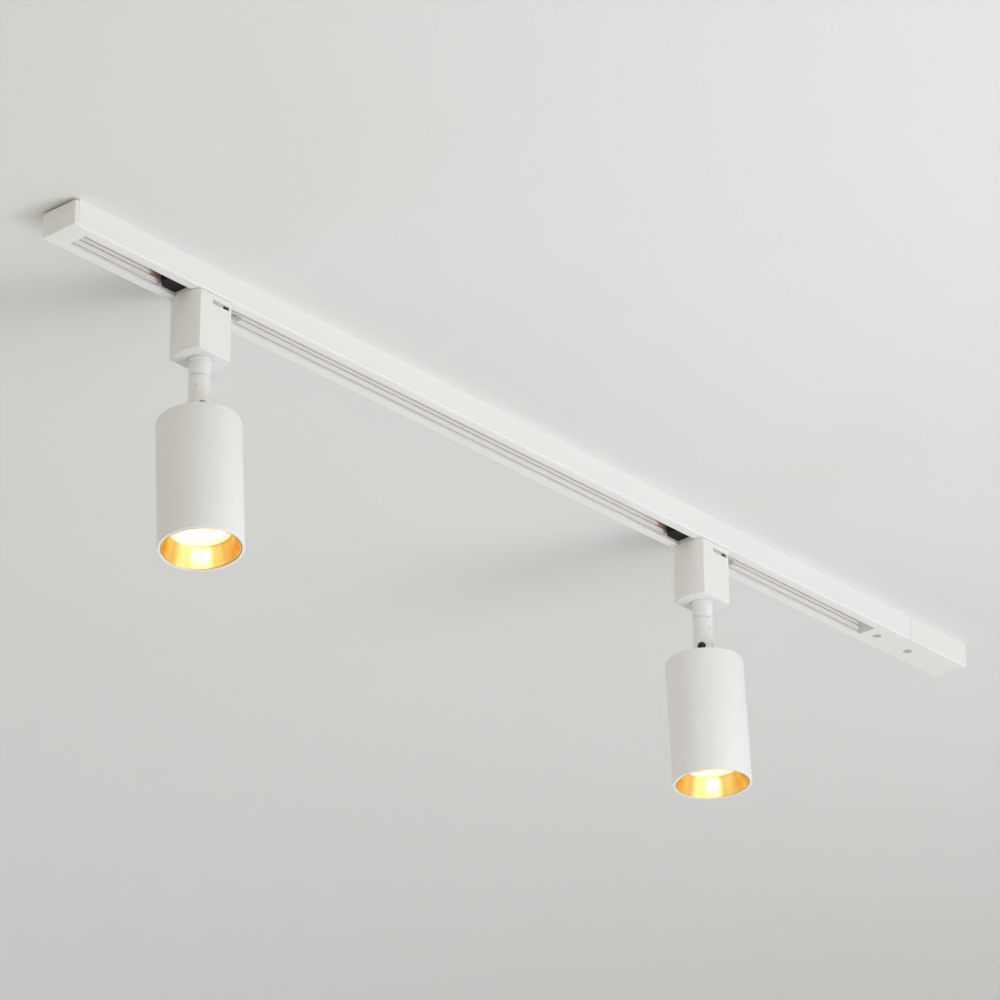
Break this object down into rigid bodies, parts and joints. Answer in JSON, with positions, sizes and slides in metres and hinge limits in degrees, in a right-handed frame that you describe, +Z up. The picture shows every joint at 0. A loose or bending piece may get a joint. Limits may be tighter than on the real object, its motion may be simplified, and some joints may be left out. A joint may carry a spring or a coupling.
{
  "type": "track lighting fixture",
  "caption": "White ceiling track light: slotted power rail with live and dead ends, carrying cylinder spotlights with gold inner sleeves that slide, swivel and tilt.",
  "frame": {"origin": "middle of the rail's ceiling face, on the line of its fixing screws", "axes": "+X along the rail towards the live end, +Y across the rail, +Z up into the ceiling"},
  "size_m": [1.084, 0.076, 0.2378],
  "materials": {
    "rail_paint": "satin white powder coat on extruded aluminium",
    "head_paint": "satin white powder coat",
    "white_plastic": "satin moulded white",
    "beige_plastic": "satin moulded grey beige",
    "insulator": "extruded off-white insulator",
    "black_plastic": "moulded black",
    "copper": "drawn copper",
    "plated_steel": "zinc plated",
    "nickel": "nickel plated",
    "black_steel": "black oxide, oiled",
    "wire_sleeve": "white silicone sleeving",
    "ceramic": "unglazed",
    "bulb_reflector": "aluminised pressed reflector",
    "lens_glass": "clear ribbed front glass, lit",
    "gold": "satin gold anodised"
  },
  "bodies": {
    "rail_body": {"rail": "rail_paint", "insulator_far": "insulator", "insulator_near": "insulator", "conductors": "copper", "dead_end_cap": "white_plastic", "live_end_housing": "white_plastic", "live_end_cover": "white_plastic", "live_end_contact_block": "white_plastic", "live_end_contacts": "copper", "live_end_screws": "plated_steel", "terminal_block": "white_plastic", "terminal_screws": "plated_steel"},
    "head1_carriage": {"head1_shell_near": "white_plastic", "head1_shell_far": "white_plastic", "head1_shell_screws": "plated_steel", "head1_contact_carrier": "black_plastic", "head1_locking_wings": "plated_steel", "head1_contacts": "copper", "head1_stem_collar": "head_paint", "head1_nipple_nut": "plated_steel", "head1_swivel_nipple": "plated_steel", "head1_leads": "wire_sleeve"},
    "head1_lock": {"head1_lock_tab": "beige_plastic", "head1_latch_plate": "nickel"},
    "head1_swivel": {"head1_stem": "head_paint", "head1_stem_set_screw": "plated_steel", "head1_pivot_screw": "black_steel", "head1_pivot_nut": "black_steel"},
    "head1_lamp": {"head1_tilt_bracket": "head_paint", "head1_bracket_screws": "plated_steel", "head1_lamp_housing": "head_paint", "head1_lampholder": "ceramic", "head1_holder_bracket": "plated_steel", "head1_bulb": "bulb_reflector", "head1_bulb_lens": "lens_glass", "head1_gold_baffle": "gold"},
    "head2_carriage": {"head2_shell_near": "white_plastic", "head2_shell_far": "white_plastic", "head2_shell_screws": "plated_steel", "head2_contact_carrier": "black_plastic", "head2_locking_wings": "plated_steel", "head2_contacts": "copper", "head2_stem_collar": "head_paint", "head2_nipple_nut": "plated_steel", "head2_swivel_nipple": "plated_steel", "head2_leads": "wire_sleeve"},
    "head2_lock": {"head2_lock_tab": "beige_plastic", "head2_latch_plate": "nickel"},
    "head2_swivel": {"head2_stem": "head_paint", "head2_stem_set_screw": "plated_steel", "head2_pivot_screw": "black_steel", "head2_pivot_nut": "black_steel"},
    "head2_lamp": {"head2_tilt_bracket": "head_paint", "head2_bracket_screws": "plated_steel", "head2_lamp_housing": "head_paint", "head2_lampholder": "ceramic", "head2_holder_bracket": "plated_steel", "head2_bulb": "bulb_reflector", "head2_bulb_lens": "lens_glass", "head2_gold_baffle": "gold"}
  },
  "joints": [
    {"name": "head1_slide", "type": "slide", "parent": "rail_body", "child": "head1_carriage", "axis": [1, 0, 0], "range_m": [-0.078, 0.225]},
    {"name": "head1_lock", "type": "slide", "parent": "head1_carriage", "child": "head1_lock", "axis": [1, 0, 0], "range_m": [0, 0.0055]},
    {"name": "head1_swivel", "type": "hinge", "parent": "head1_carriage", "child": "head1_swivel", "pos_m": [-0.355, 0, -0.0975], "axis": [0, 0, 1], "range_deg": [-42, 268]},
    {"name": "head1_tilt", "type": "hinge", "parent": "head1_swivel", "child": "head1_lamp", "pos_m": [-0.355, 0, -0.114], "axis": [-0.9205, 0.3907, 0], "range_deg": [-6, 84]},
    {"name": "head2_slide", "type": "slide", "parent": "rail_body", "child": "head2_carriage", "axis": [1, 0, 0], "range_m": [-0.105, 0.17]},
    {"name": "head2_lock", "type": "slide", "parent": "head2_carriage", "child": "head2_lock", "axis": [1, 0, 0], "range_m": [0, 0.0055]},
    {"name": "head2_swivel", "type": "hinge", "parent": "head2_carriage", "child": "head2_swivel", "pos_m": [0.2355, 0, -0.0975], "axis": [0, 0, 1], "range_deg": [-95, 215]},
    {"name": "head2_tilt", "type": "hinge", "parent": "head2_swivel", "child": "head2_lamp", "pos_m": [0.2355, 0, -0.114], "axis": [-0.866, -0.5, 0], "range_deg": [-2.5, 87.5]}
  ]
}
